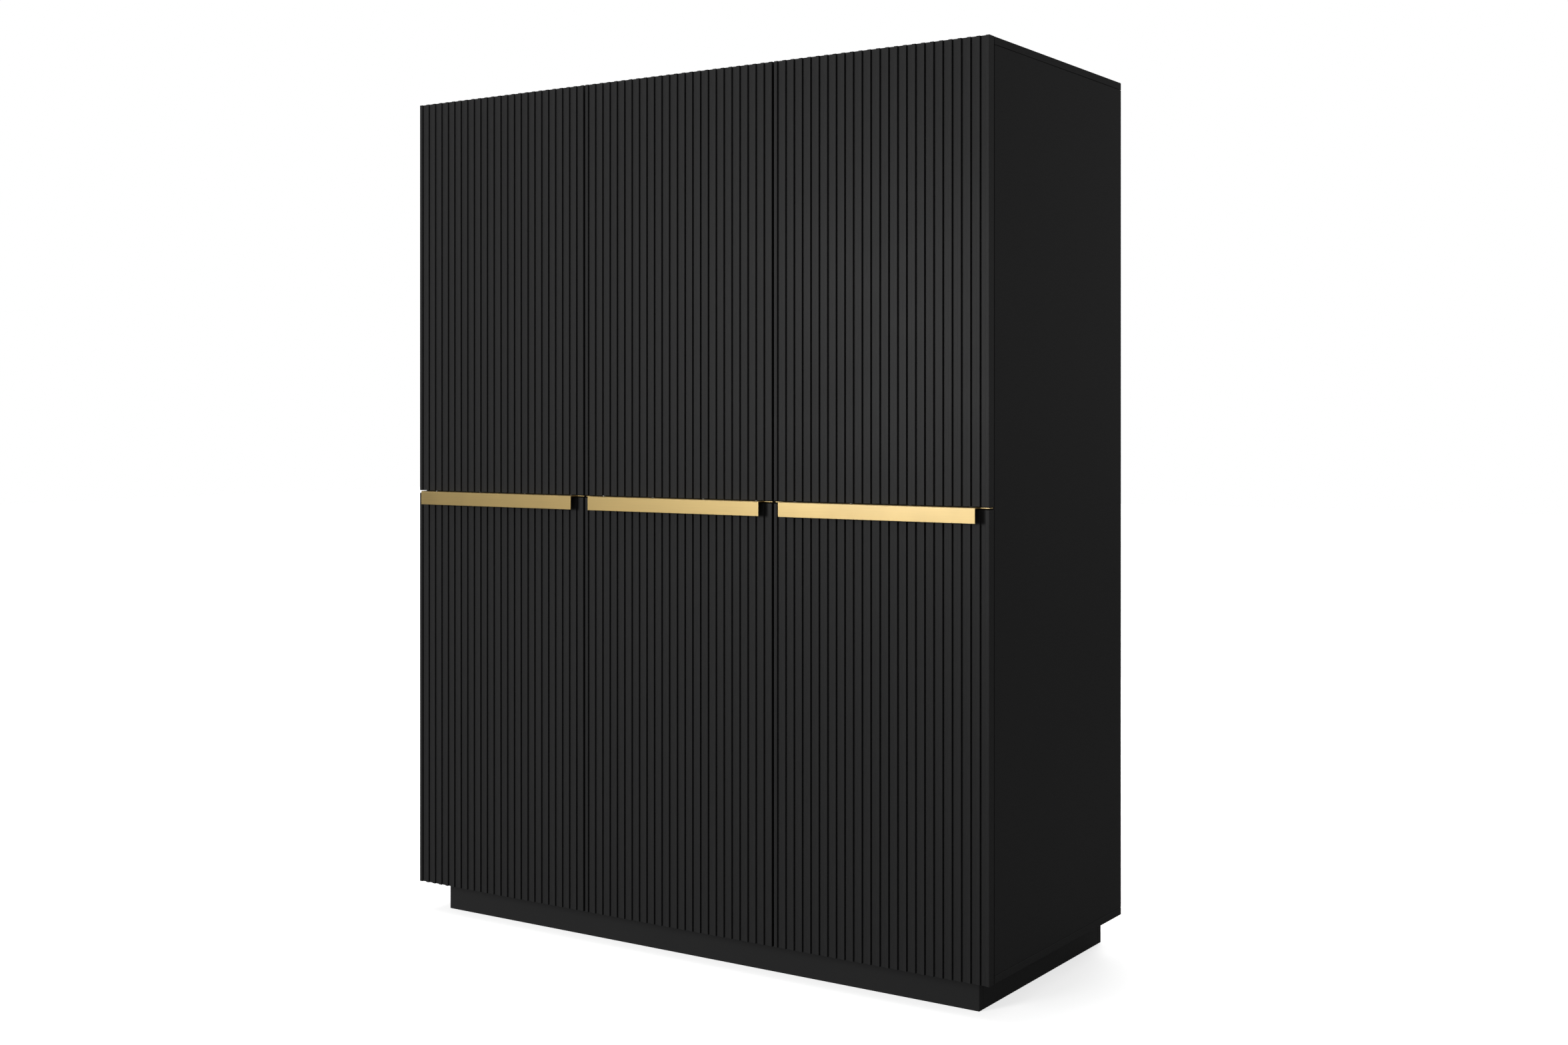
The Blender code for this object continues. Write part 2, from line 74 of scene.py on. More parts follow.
class Column(Enum):
    """The three columns, with the side that carries the hinges: -1 for left, 1 for right."""

    LEFT = ("left", -1)
    MIDDLE = ("middle", 1)
    RIGHT = ("right", 1)

    @property
    def word(self) -> str:
        """The column's name in the frame."""
        return self.value[0]

    @property
    def hinge_side(self) -> int:
        """The side of the hinges along X."""
        return self.value[1]


class Level(Enum):
    """The two rows of leaves."""

    LOWER = "lower"
    UPPER = "upper"


# ---------------------------------------------------------------- node helpers

class Sketch:
    """Lays out the nodes of one tree."""

    def __init__(self, tree: bpy.types.NodeTree) -> None:
        """Keep the tree to draw in.

        Args:
            tree: the node tree of a material, world or group.
        """
        self.tree = tree

    def node(self, kind: str, values: Optional[dict] = None, **settings: object) -> bpy.types.Node:
        """Add a node.

        Args:
            kind: the node's type, without the ShaderNode prefix.
            values: input name or index to a number, a colour or a socket to link.
            settings: properties of the node itself.

        Returns:
            The new node.
        """
        made = self.tree.nodes.new(f"ShaderNode{kind}")
        for name, setting in settings.items():
            setattr(made, name, setting)
        for name, value in (values or {}).items():
            self.feed(made.inputs[name], value)
        return made

    def feed(self, socket: bpy.types.NodeSocket, value: object) -> None:
        """Link a socket into an input, or set the input's own value."""
        if isinstance(value, bpy.types.NodeSocket):
            self.tree.links.new(value, socket)
        else:
            socket.default_value = value

    def mix(self, factor: object, first: object, second: object) -> bpy.types.NodeSocket:
        """Return a colour between two colours."""
        made = self.node("Mix", {0: factor, 6: first, 7: second}, data_type="RGBA")
        return made.outputs[2]

    def span(self, value: object, low: float, high: float, start: float = 0.0,
             end: float = 1.0) -> bpy.types.NodeSocket:
        """Map a value from one range to another, clamped."""
        made = self.node("MapRange", {"Value": value, "From Min": start, "From Max": end,
                                      "To Min": low, "To Max": high})
        return made.outputs[0]

    def maths(self, operation: str, first: object, second: object = 0.0) -> bpy.types.NodeSocket:
        """Return the result of a Math node."""
        return self.node("Math", {0: first, 1: second}, operation=operation).outputs[0]

    def place(self, scale: Sequence[float] = (1, 1, 1)) -> bpy.types.NodeSocket:
        """Return the object's own coordinates, scaled."""
        coordinates = self.node("TexCoord").outputs["Object"]
        return self.node("Mapping", {"Vector": coordinates, "Scale": scale}).outputs[0]

    def depth(self) -> bpy.types.NodeSocket:
        """Return how far back a point is, along the object's own Y."""
        return self.node("SeparateXYZ", {0: self.place()}).outputs["Y"]

    def noise(self, vector: object, scale: object, detail: float = 2.0,
              roughness: float = 0.5) -> bpy.types.NodeSocket:
        """Return a noise value from 0 to 1."""
        made = self.node("TexNoise", {"Vector": vector, "Scale": scale, "Detail": detail,
                                      "Roughness": roughness})
        return made.outputs[0]


def grey(value: float) -> tuple:
    """Return a neutral colour."""
    return (value, value, value, 1.0)


def tint(colour: Sequence[float]) -> tuple:
    """Return a colour with full alpha."""
    return (*colour, 1.0)


class EffectGroups:
    """Shader groups that several finishes share, each built once."""

    UPWARD_BAND = (0.6, 1.0)
    SPECK_BAND = (0.35, 0.7)
    THINNEST_FILM = 0.7
    PORE_STRETCH = (1.0, 1.0, 0.18)
    PORE_BAND = (0.38, 0.62)
    TONE_SCALE = 3.0

    def __init__(self) -> None:
        """Build every group."""
        self.peel = self._group("sprayed_peel", {"Peel Scale": 900.0, "Cloud Scale": 2.5},
                                {"Height": "NodeSocketFloat", "Cloud": "NodeSocketFloat"}, self._peel)
        self.dust = self._group("settled_dust", {"Amount": 0.3, "Scale": 60.0},
                                {"Mask": "NodeSocketFloat"}, self._dust)
        self.pores = self._group("pressed_pores", {"Scale": 1400.0},
                                 {"Height": "NodeSocketFloat", "Tone": "NodeSocketFloat"}, self._pores)
        self.brush = self._group("brushed_lines", {"Across": 2600.0, "Along": 9.0},
                                 {"Line": "NodeSocketFloat"}, self._brush)

    @staticmethod
    def _group(name: str, inputs: dict, outputs: dict, draw: Callable) -> bpy.types.NodeTree:
        """Make a group with float inputs and let a method draw its inside.

        Args:
            name: the group's name.
            inputs: input name to its default value.
            outputs: output name to its socket type.
            draw: method that takes the sketch and the inputs and returns the output sockets in order.

        Returns:
            The node group.
        """
        tree = bpy.data.node_groups.new(name, "ShaderNodeTree")
        for label, value in inputs.items():
            socket = tree.interface.new_socket(label, in_out="INPUT", socket_type="NodeSocketFloat")
            socket.default_value = value
        for label, kind in outputs.items():
            tree.interface.new_socket(label, in_out="OUTPUT", socket_type=kind)
        sketch = Sketch(tree)
        entry = tree.nodes.new("NodeGroupInput")
        leave = tree.nodes.new("NodeGroupOutput")
        for index, result in enumerate(draw(sketch, entry.outputs)):
            tree.links.new(result, leave.inputs[index])
        return tree

    @staticmethod
    def _peel(sketch: Sketch, given: bpy.types.NodeOutputs) -> tuple:
        """Fine spray texture and a slow cloud of sheen."""
        place = sketch.place()
        fine = sketch.noise(place, given["Peel Scale"], detail=1.0)
        cloud = sketch.noise(place, given["Cloud Scale"], detail=3.0, roughness=0.6)
        return fine, cloud

    @classmethod
    def _dust(cls, sketch: Sketch, given: bpy.types.NodeOutputs) -> tuple:
        """A thin film of dust on faces that look up."""
        facing = sketch.node("NewGeometry").outputs["Normal"]
        up = sketch.node("SeparateXYZ", {0: facing}).outputs["Z"]
        flat = sketch.span(up, 0.0, 1.0, *cls.UPWARD_BAND)
        specks = sketch.noise(sketch.place(), given["Scale"], detail=6.0, roughness=0.7)
        film = sketch.maths("MULTIPLY", flat, sketch.span(specks, cls.THINNEST_FILM, 1.0, *cls.SPECK_BAND))
        return (sketch.maths("MULTIPLY", film, given["Amount"]),)

    @classmethod
    def _pores(cls, sketch: Sketch, given: bpy.types.NodeOutputs) -> tuple:
        """Short pressed pores of a laminate, drawn out along Z."""
        pore = sketch.noise(sketch.place(cls.PORE_STRETCH), given["Scale"], detail=2.0, roughness=0.6)
        tone = sketch.noise(sketch.place(), cls.TONE_SCALE, detail=4.0, roughness=0.6)
        return sketch.span(pore, 0.0, 1.0, *cls.PORE_BAND), tone

    @staticmethod
    def _brush(sketch: Sketch, given: bpy.types.NodeOutputs) -> tuple:
        """Fine lines that run along X."""
        parts = sketch.node("SeparateXYZ", {0: sketch.place()})
        along = sketch.maths("MULTIPLY", parts.outputs["X"], given["Along"])
        side = sketch.maths("MULTIPLY", parts.outputs["Y"], given["Across"])
        rise = sketch.maths("MULTIPLY", parts.outputs["Z"], given["Across"])
        drawn = sketch.node("CombineXYZ", {0: along, 1: side, 2: rise}).outputs[0]
        return (sketch.noise(drawn, 1.0, detail=2.0, roughness=0.55),)


# ---------------------------------------------------------------- finishes

@dataclass(frozen=True)
class Finish:
    """A finish with a colour, a sheen and a name; its kinds draw their own nodes.

    The tones are factors on the colour, and the sheens are added to the roughness; each pair is for
    the low and the high end of a noise. The relief is the height of the surface's texture in metres.
    """

    name: str
    colour: tuple
    roughness: float
    specular: float = 0.5
    metallic: float = 0.0
    tones: tuple = (0.9, 1.1)
    sheens: tuple = (-0.05, 0.05)
    relief: float = 0.00003
    relief_strength: float = 0.4

    def material(self, groups: EffectGroups) -> bpy.types.Material:
        """Build the material.

        Args:
            groups: the shared shader groups.

        Returns:
            The finished material.
        """
        made = bpy.data.materials.new(self.name)
        made.use_nodes = True
        made.node_tree.nodes.clear()
        sketch = Sketch(made.node_tree)
        shader = sketch.node("BsdfPrincipled", {"Metallic": self.metallic, "Roughness": self.roughness,
                                                "Specular IOR Level": self.specular,
                                                "Base Color": tint(self.colour)})
        out = sketch.node("OutputMaterial")
        made.node_tree.links.new(shader.outputs[0], out.inputs[0])
        self.dress(sketch, shader, groups)
        return made

    def dress(self, sketch: Sketch, shader: bpy.types.Node, groups: EffectGroups) -> None:
        """Draw what varies over the surface."""
        raise NotImplementedError

    def shade(self, factor: float) -> tuple:
        """Return the colour made lighter or darker."""
        return tint([min(1.0, part * factor) for part in self.colour])

    def toned(self, sketch: Sketch, noise: bpy.types.NodeSocket) -> bpy.types.NodeSocket:
        """Return the colour as it changes with a noise."""
        dark, light = self.tones
        return sketch.mix(noise, self.shade(dark), self.shade(light))

    def sheen(self, sketch: Sketch, noise: bpy.types.NodeSocket,
              band: tuple = FULL_BAND) -> bpy.types.NodeSocket:
        """Return the roughness as it changes with a noise.

        Args:
            sketch: where the nodes are drawn.
            noise: the noise that drives the change.
            band: the values of the noise for the two ends of the change.

        Returns:
            The roughness.
        """
        glossy, dull = self.sheens
        return sketch.span(noise, self.roughness + glossy, self.roughness + dull, *band)

    def emboss(self, sketch: Sketch, shader: bpy.types.Node, height: bpy.types.NodeSocket) -> None:
        """Feed a height into the shader's normal through a Bump node."""
        made = sketch.node("Bump", {"Height": height, "Distance": self.relief,
                                    "Strength": self.relief_strength})
        sketch.feed(shader.inputs["Normal"], made.outputs[0])


@dataclass(frozen=True)
class DustyFinish(Finish):
    """A finish that collects a thin film of dust on faces that look up."""

    dust_colour: tuple = (0.16, 0.155, 0.15)
    dust_amount: float = 0.15

    def dusted(self, sketch: Sketch, groups: EffectGroups,
               base: bpy.types.NodeSocket) -> bpy.types.NodeSocket:
        """Return a colour with the dust on it."""
        film = sketch.node("Group", {"Amount": self.dust_amount}, node_tree=groups.dust)
        return sketch.mix(film.outputs[0], base, tint(self.dust_colour))


@dataclass(frozen=True)
class Lacquer(DustyFinish):
    """Sprayed satin lacquer on milled board, with an upright grain."""

    sheens: tuple = (-0.03, 0.03)
    relief: float = 0.00004
    relief_strength: float = 0.35
    grain_scale: tuple = (850.0, 850.0, 40.0)

    def dress(self, sketch: Sketch, shader: bpy.types.Node, groups: EffectGroups) -> None:
        """Draw the spray texture, the grain, a slow change of sheen and a little dust."""
        peel = sketch.node("Group", node_tree=groups.peel)
        grain = sketch.noise(sketch.place(self.grain_scale), 1.0, detail=3.0, roughness=0.6)
        base = self.toned(sketch, sketch.span(grain, 0.0, 1.0, *NOISE_BAND))
        sketch.feed(shader.inputs["Base Color"], self.dusted(sketch, groups, base))
        sketch.feed(shader.inputs["Roughness"], self.sheen(sketch, peel.outputs["Cloud"], NOISE_BAND))
        self.emboss(sketch, shader, peel.outputs["Height"])


@dataclass(frozen=True)
class Laminate(DustyFinish):
    """Pressed laminate on particle board, with bare chips on the back edge."""

    tones: tuple = (0.97, 1.03)
    sheens: tuple = (-0.02, 0.08)
    relief: float = 0.00005
    pore_tone: float = 0.8
    pore_share: float = 0.35
    raw_edge_y: Optional[float] = None
    chip_scale: float = 520.0
    chip_stretch: tuple = (1.0, 1.0, 0.45)
    chip_light: tuple = (0.50, 0.36, 0.22)
    chip_dark: tuple = (0.20, 0.125, 0.07)

    def dress(self, sketch: Sketch, shader: bpy.types.Node, groups: EffectGroups) -> None:
        """Draw the pores, the dust and the bare back edge."""
        pores = sketch.node("Group", node_tree=groups.pores)
        base = self.toned(sketch, sketch.span(pores.outputs["Tone"], 0.0, 1.0, *NOISE_BAND))
        fleck = sketch.span(pores.outputs["Height"], 0.0, self.pore_share)
        base = self.dusted(sketch, groups, sketch.mix(fleck, base, self.shade(self.pore_tone)))
        if self.raw_edge_y is not None:
            base = self.bare_edge(sketch, base)
        sketch.feed(shader.inputs["Base Color"], base)
        sketch.feed(shader.inputs["Roughness"], self.sheen(sketch, pores.outputs["Height"]))
        self.emboss(sketch, shader, pores.outputs["Height"])

    def bare_edge(self, sketch: Sketch, base: bpy.types.NodeSocket) -> bpy.types.NodeSocket:
        """Return the colour with pressed wood chips where the board's back edge is bare."""
        cells = sketch.node("TexVoronoi", {"Vector": sketch.place(self.chip_stretch),
                                           "Scale": self.chip_scale})
        shade = sketch.node("SeparateXYZ", {0: cells.outputs["Color"]}).outputs["X"]
        chips = sketch.mix(shade, tint(self.chip_dark), tint(self.chip_light))
        bare = sketch.maths("GREATER_THAN", sketch.depth(), self.raw_edge_y)
        return sketch.mix(bare, base, chips)


@dataclass(frozen=True)
class Hardboard(Finish):
    """Thin hardboard: painted dark on its front face and bare brown fibre behind."""

    sheens: tuple = (-0.08, 0.08)
    relief: float = 0.00012
    relief_strength: float = 0.5
    front_y: float = 0.0
    fibre_scale: float = 700.0
    stain_scale: float = 6.0
    stain_share: float = 0.35
    fibre_light: tuple = (0.28, 0.155, 0.075)
    fibre_dark: tuple = (0.15, 0.078, 0.036)

    def dress(self, sketch: Sketch, shader: bpy.types.Node, groups: EffectGroups) -> None:
        """Draw the fibres and the two faces."""
        place = sketch.place()
        fine = sketch.noise(place, self.fibre_scale, detail=5.0, roughness=0.75)
        slow = sketch.noise(place, self.stain_scale, detail=4.0, roughness=0.6)
        dark = tint(self.fibre_dark)
        fibre = sketch.mix(sketch.span(fine, 0.0, 1.0, *NOISE_BAND), dark, tint(self.fibre_light))
        fibre = sketch.mix(sketch.span(slow, 0.0, self.stain_share, *NOISE_BAND), fibre, dark)
        behind = sketch.maths("GREATER_THAN", sketch.depth(), self.front_y)
        sketch.feed(shader.inputs["Base Color"], sketch.mix(behind, self.toned(sketch, fine), fibre))
        sketch.feed(shader.inputs["Roughness"], self.sheen(sketch, fine))
        self.emboss(sketch, shader, fine)


@dataclass(frozen=True)
class SatinMetal(Finish):
    """Metal with a fine satin finish, brushed along its length."""

    tones: tuple = (0.95, 1.05)
    sheens: tuple = (-0.025, 0.025)
    relief: float = 0.00001
    line_sheen: float = 0.03
    cloud_scale: float = 14.0
    coat: float = 0.0
    coat_ior: float = 1.9
    coat_roughness: float = 0.26

    def dress(self, sketch: Sketch, shader: bpy.types.Node, groups: EffectGroups) -> None:
        """Draw the brushed lines and a slow change of sheen."""
        shader.inputs["Coat Weight"].default_value = self.coat
        shader.inputs["Coat IOR"].default_value = self.coat_ior
        shader.inputs["Coat Roughness"].default_value = self.coat_roughness
        brush = sketch.node("Group", node_tree=groups.brush)
        line = sketch.span(brush.outputs["Line"], 0.0, 1.0, *NOISE_BAND)
        cloud = sketch.noise(sketch.place(), self.cloud_scale, detail=3.0)
        sketch.feed(shader.inputs["Base Color"], self.toned(sketch, line))
        lines = sketch.span(line, -self.line_sheen, self.line_sheen)
        sketch.feed(shader.inputs["Roughness"],
                    sketch.maths("ADD", lines, self.sheen(sketch, cloud, NOISE_BAND)))
        self.emboss(sketch, shader, line)


@dataclass(frozen=True)
class PlatedSteel(Finish):
    """Pressed and plated steel with faint stains."""

    tones: tuple = (0.94, 1.04)
    sheens: tuple = (-0.03, 0.05)
    relief: float = 0.00002
    relief_strength: float = 0.3
    stain_scale: float = 160.0
    stain_band: tuple = (0.35, 0.7)
    mark_scale: float = 1500.0

    def dress(self, sketch: Sketch, shader: bpy.types.Node, groups: EffectGroups) -> None:
        """Draw the stains and the press marks."""
        place = sketch.place()
        stain = sketch.noise(place, self.stain_scale, detail=4.0, roughness=0.65)
        marks = sketch.noise(place, self.mark_scale, detail=2.0)
        base = self.toned(sketch, sketch.span(stain, 0.0, 1.0, *self.stain_band))
        sketch.feed(shader.inputs["Base Color"], base)
        sketch.feed(shader.inputs["Roughness"], self.sheen(sketch, stain, NOISE_BAND))
        self.emboss(sketch, shader, marks)


@dataclass(frozen=True)
class MouldedPlastic(Finish):
    """Moulded plastic with a fine spark texture."""

    sheens: tuple = (-0.05, 0.07)
    spark_scale: float = 2200.0
    cloud_scale: float = 30.0

    def dress(self, sketch: Sketch, shader: bpy.types.Node, groups: EffectGroups) -> None:
        """Draw the spark texture."""
        peel = sketch.node("Group", {"Peel Scale": self.spark_scale, "Cloud Scale": self.cloud_scale},
                           node_tree=groups.peel)
        spark = peel.outputs["Height"]
        sketch.feed(shader.inputs["Base Color"], self.toned(sketch, peel.outputs["Cloud"]))
        sketch.feed(shader.inputs["Roughness"], self.sheen(sketch, spark, NOISE_BAND))
        self.emboss(sketch, shader, spark)


@dataclass(frozen=True)
class ClearRubber(Finish):
    """Soft clear rubber with a faint haze."""

    tones: tuple = (0.92, 1.05)
    haze_scale: float = 400.0

    def dress(self, sketch: Sketch, shader: bpy.types.Node, groups: EffectGroups) -> None:
        """Draw the haze."""
        haze = sketch.noise(sketch.place(), self.haze_scale, detail=2.0)
        sketch.feed(shader.inputs["Base Color"], self.toned(sketch, haze))
        sketch.feed(shader.inputs["Roughness"], self.sheen(sketch, haze))


@dataclass(frozen=True)
class StudioFloor(Finish):
    """Pale floor that fades into the bright surroundings, and throws little light back up."""

    tones: tuple = (0.985, 1.0)
    grain_scale: float = 35.0
    fade_start: float = 1.0
    fade_end: float = 3.2
    near_glow: float = 0.7
    bounce: float = 0.15

    def dress(self, sketch: Sketch, shader: bpy.types.Node, groups: EffectGroups) -> None:
        """Draw the fade over the distance from the middle, and the dimmer bounce."""
        place = sketch.place()
        seen = sketch.node("LightPath").outputs["Is Camera Ray"]
        distance = sketch.node("VectorMath", {0: place}, operation="LENGTH").outputs["Value"]
        glow = sketch.span(distance, self.near_glow, 1.0, self.fade_start, self.fade_end)
        pale = self.toned(sketch, sketch.noise(place, self.grain_scale, detail=4.0))
        sketch.feed(shader.inputs["Base Color"], sketch.mix(seen, grey(self.bounce), pale))
        shader.inputs["Emission Strength"].default_value = 1.0
        sketch.feed(shader.inputs["Emission Color"],
                    sketch.mix(sketch.maths("MULTIPLY", glow, seen), grey(0.0), grey(1.0)))


class Palette:
    """Every material of the wardrobe, by role."""

    EDGE_MARGIN = 0.0004

    def __init__(self, groups: EffectGroups) -> None:
        """Build the materials.

        Args:
            groups: the shared shader groups.
        """
        back_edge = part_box("side_left")[1].y - self.EDGE_MARGIN
        panel_low, panel_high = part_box("back_panel_wide")
        self.lacquer = Lacquer("satin_black_lacquer", (0.0280, 0.0280, 0.0283), 0.41,
                               0.125).material(groups)
        self.board = Laminate("black_laminate_board", (0.0325, 0.0325, 0.0328), 0.46, 0.075,
                              raw_edge_y=back_edge).material(groups)
        self.plinth = Laminate("black_laminate_plinth", (0.0310, 0.0310, 0.0313), 0.46,
                               0.13).material(groups)
        self.hardboard = Hardboard("thin_hardboard", (0.040, 0.039, 0.038), 0.7, 0.3,
                                   front_y=(panel_low.y + panel_high.y) / 2).material(groups)
        self.gold = SatinMetal("satin_gold", (0.86, 0.625, 0.245), 0.44, metallic=1.0,
                               coat=0.75).material(groups)
        self.nickel = PlatedSteel("nickel_plated_steel", (0.72, 0.72, 0.73), 0.34,
                                  metallic=0.8).material(groups)
        self.rail = SatinMetal("satin_rail_steel", (0.54, 0.54, 0.55), 0.31, metallic=1.0,
                               tones=(0.97, 1.03)).material(groups)
        self.plastic = MouldedPlastic("black_moulded_plastic", (0.028, 0.028, 0.029), 0.45,
                                      0.45).material(groups)
        self.rubber = ClearRubber("clear_rubber", (0.55, 0.55, 0.53), 0.3, 0.5).material(groups)
        self.floor = StudioFloor("studio_floor", (0.88, 0.88, 0.88), 0.9, 0.1).material(groups)


# ---------------------------------------------------------------- mesh helpers

class Shape:
    """A mesh that is shaped by whole operations on its faces and edges."""

    MERGE_DISTANCE = 1e-6
    CUT_DISTANCE = 1e-7
    FLAT_ANGLE = math.radians(0.5)

    def __init__(self) -> None:
        """Start empty."""
        self.bm = bmesh.new()

    @classmethod
    def box(cls, low: Sequence[float], high: Sequence[float]) -> "Shape":
        """Return a box between two corners."""
        made = cls()
        bmesh.ops.create_cube(made.bm, size=1.0)
        low, high = Vector(low), Vector(high)
        bmesh.ops.scale(made.bm, verts=made.bm.verts, vec=high - low)
        bmesh.ops.translate(made.bm, verts=made.bm.verts, vec=(low + high) / 2)
        return made

    @classmethod
    def rod(cls, start: Sequence[float], end: Sequence[float], radius: float,
            sides: int = ROUND) -> "Shape":
        """Return a closed cylinder between two points."""
        made = cls()
        start, end = Vector(start), Vector(end)
        turn = (end - start).to_track_quat("Z", "Y").to_matrix().to_4x4()
        bmesh.ops.create_cone(made.bm, cap_ends=True, segments=sides, radius1=radius, radius2=radius,
                              depth=(end - start).length,
                              matrix=Matrix.Translation((start + end) / 2) @ turn)
        return made

    @classmethod
    def of_node(cls, node: str) -> "Shape":
        """Return a merged copy of a CAD node's mesh."""
        made = cls()
        made.bm.from_mesh(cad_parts[node].data)
        bmesh.ops.remove_doubles(made.bm, verts=made.bm.verts, dist=cls.MERGE_DISTANCE)
        bmesh.ops.dissolve_limit(made.bm, angle_limit=cls.FLAT_ANGLE, verts=made.bm.verts,
                                 edges=made.bm.edges)
        return made

    def cut(self, point: Sequence[float], normal: Sequence[float]) -> None:
        """Cut every face along a plane, and keep both sides."""
        everything = self.bm.verts[:] + self.bm.edges[:] + self.bm.faces[:]
        bmesh.ops.bisect_plane(self.bm, geom=everything, dist=self.CUT_DISTANCE, plane_co=point,
                               plane_no=normal)

    def faces(self, keep: Callable[[bmesh.types.BMFace], bool]) -> list:
        """Return the faces that a test keeps."""
        return [face for face in self.bm.faces if keep(face)]

    def edges(self, keep: Callable[[bmesh.types.BMEdge], bool]) -> list:
        """Return the edges that a test keeps."""
        return [edge for edge in self.bm.edges if keep(edge)]

    def sharp_edges(self) -> list:
        """Return the edges whose faces meet at a corner."""
        return self.edges(lambda edge: len(edge.link_faces) == 2 and edge.calc_face_angle() > CORNER_ANGLE)

    def pull(self, faces: list, offset: Sequence[float]) -> list:
        """Extrude faces by an offset and return the moved faces."""
        made = bmesh.ops.extrude_face_region(self.bm, geom=faces)["geom"]
        points = [item for item in made if isinstance(item, bmesh.types.BMVert)]
        bmesh.ops.translate(self.bm, verts=points, vec=offset)
        return [item for item in made if isinstance(item, bmesh.types.BMFace)]

    def round(self, edges: list, width: float, segments: int = 2) -> "Shape":
        """Bevel edges."""
        bmesh.ops.bevel(self.bm, geom=edges, offset=width, offset_type="OFFSET", segments=segments,
                        profile=0.5, affect="EDGES", material=-1)
        return self

    def join(self, other: "Shape") -> "Shape":
        """Add another shape's mesh to this one, and empty the other."""
        carrier = bpy.data.meshes.new("carrier")
        other.bm.to_mesh(carrier)
        other.bm.free()
        self.bm.from_mesh(carrier)
        bpy.data.meshes.remove(carrier)
        return self

    def mesh(self, name: str) -> bpy.types.Mesh:
        """Turn the shape into a mesh with outward faces."""
        bmesh.ops.recalc_face_normals(self.bm, faces=self.bm.faces)
        made = bpy.data.meshes.new(name)
        self.bm.to_mesh(made)
        self.bm.free()
        return made


@dataclass
class Workshop:
    """Adds finished pieces to the scene and reports them."""

    palette: Palette
    sharp_angle: float = math.radians(50)
    count: int = 0

    def add(self, name: str, shape: Shape, finish: bpy.types.Material, body: str, slot: str,
            replaces: Iterable[str] = (), cuts: Iterable[Shape] = (), smooth: bool = True) -> None:
        """Link a piece, hang it on the body that it rides on, and hide the CAD nodes that it stands for.

        Args:
            name: the piece's name.
            shape: its shape, in place.
            finish: its material.
            body: the body of the frame that it rides on.
            slot: the record's material slot; not used.
            replaces: CAD nodes that it stands for.
            cuts: shapes to cut out of it, none of which touch each other.
            smooth: whether its round faces are shaded smooth.
        """
        tool = Shape()
        for cut in cuts:
            tool.join(cut)
        piece = bpy.data.objects.new(name, shape.mesh(name))
        bpy.context.scene.collection.objects.link(piece)
        if tool.bm.faces:
            self.carve(piece, tool)
        piece.data.materials.clear()
        piece.data.materials.append(finish)
        if smooth:
            piece.data.shade_smooth()
            piece.data.set_sharp_from_angle(angle=self.sharp_angle)
            piece.modifiers.new("flat_faces", "WEIGHTED_NORMAL").keep_sharp = True
        else:
            piece.data.shade_flat()
        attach(piece, body)
        if replaces:
            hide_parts(*replaces)
        self.count += 1
        log.info("made %s on %s", name, body)

    @staticmethod
    def carve(piece: bpy.types.Object, tool: Shape) -> None:
        """Cut a shape out of a piece's mesh."""
        cutter = bpy.data.objects.new("cutter", tool.mesh("cutter"))
        bpy.context.scene.collection.objects.link(cutter)
        modifier = piece.modifiers.new("cut", "BOOLEAN")
        modifier.operation = "DIFFERENCE"
        modifier.solver = "EXACT"
        modifier.object = cutter
        graph = bpy.context.evaluated_depsgraph_get()
        carved = bpy.data.meshes.new_from_object(piece.evaluated_get(graph))
        piece.modifiers.remove(modifier)
        whole, name = piece.data, piece.data.name
        piece.data = carved
        bpy.data.meshes.remove(whole)
        carved.name = name
        bpy.data.objects.remove(cutter, do_unlink=True)

    def dress_node(self, node: str, finish: bpy.types.Material) -> None:
        """Give a CAD node a better material."""
        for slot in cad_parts[node].material_slots:
            slot.material = finish
        log.info("dressed %s", node)


@dataclass
class RecessedScrew:
    """A low screw head with a recess in its top."""

    foot: Vector
    outward: Vector
    radius: float
    height: float
    rim_share: float = 0.45
    rim_steps: int = 3
    core_share: float = 0.12
    arm_share: float = 0.42
    floor_share: float = 0.4

    def head(self) -> Shape:
        """Return the head with its top edge rounded."""
        shape = Shape.rod(self.foot, self.foot + self.outward * self.height, self.radius, SCREW_ROUND)
        rim = shape.edges(lambda edge: all((vert.co - self.foot).dot(self.outward) > self.height / 2
                                           for vert in edge.verts))
        return shape.round(rim, self.height * self.rim_share, self.rim_steps)

    def recess(self) -> Shape:
        """Return the cutter of the recess: a square core with its sides pulled out four ways.

        The pulls overlap, so the cutter is a square with inner walls, not a clean cross. No head
        cut with it is a closed mesh, and of about a third only the walls of the recess are left.
        """
        core, arm = self.radius * self.core_share, self.radius * self.arm_share
        shape = Shape.box((-core, -core, 0), (core, core, self.height))
        for x, y in ((1, 0), (-1, 0), (0, 1), (0, -1)):
            way = Vector((x, y, 0))
            side = shape.faces(lambda face: face.normal.dot(way) > SAME_WAY
                               and face.calc_center_median().dot(way) > core * SAME_WAY)
            shape.pull(side, way * arm)
        across = self.outward.orthogonal().normalized()
        turn = Matrix((across, self.outward.cross(across), self.outward)).transposed().to_4x4()
        spot = self.foot + self.outward * self.height * self.floor_share
        bmesh.ops.transform(shape.bm, verts=shape.bm.verts, matrix=Matrix.Translation(spot) @ turn)
        return shape


def screw_row(places: Iterable[Sequence[float]], outward: Sequence[float], radius: float,
              height: float) -> tuple:
    """Make several like screws.

    Args:
        places: the middle of the face under each head.
        outward: the direction that the heads look.
        radius: the radius of a head.
        height: the height of a head.

    Returns:
        One shape with all the heads, and the list of their recesses.
    """
    screws = [RecessedScrew(Vector(place), Vector(outward), radius, height) for place in places]
    heads = Shape()
    for screw in screws:
        heads.join(screw.head())
    return heads, [screw.recess() for screw in screws]


# ---------------------------------------------------------------- door leaves

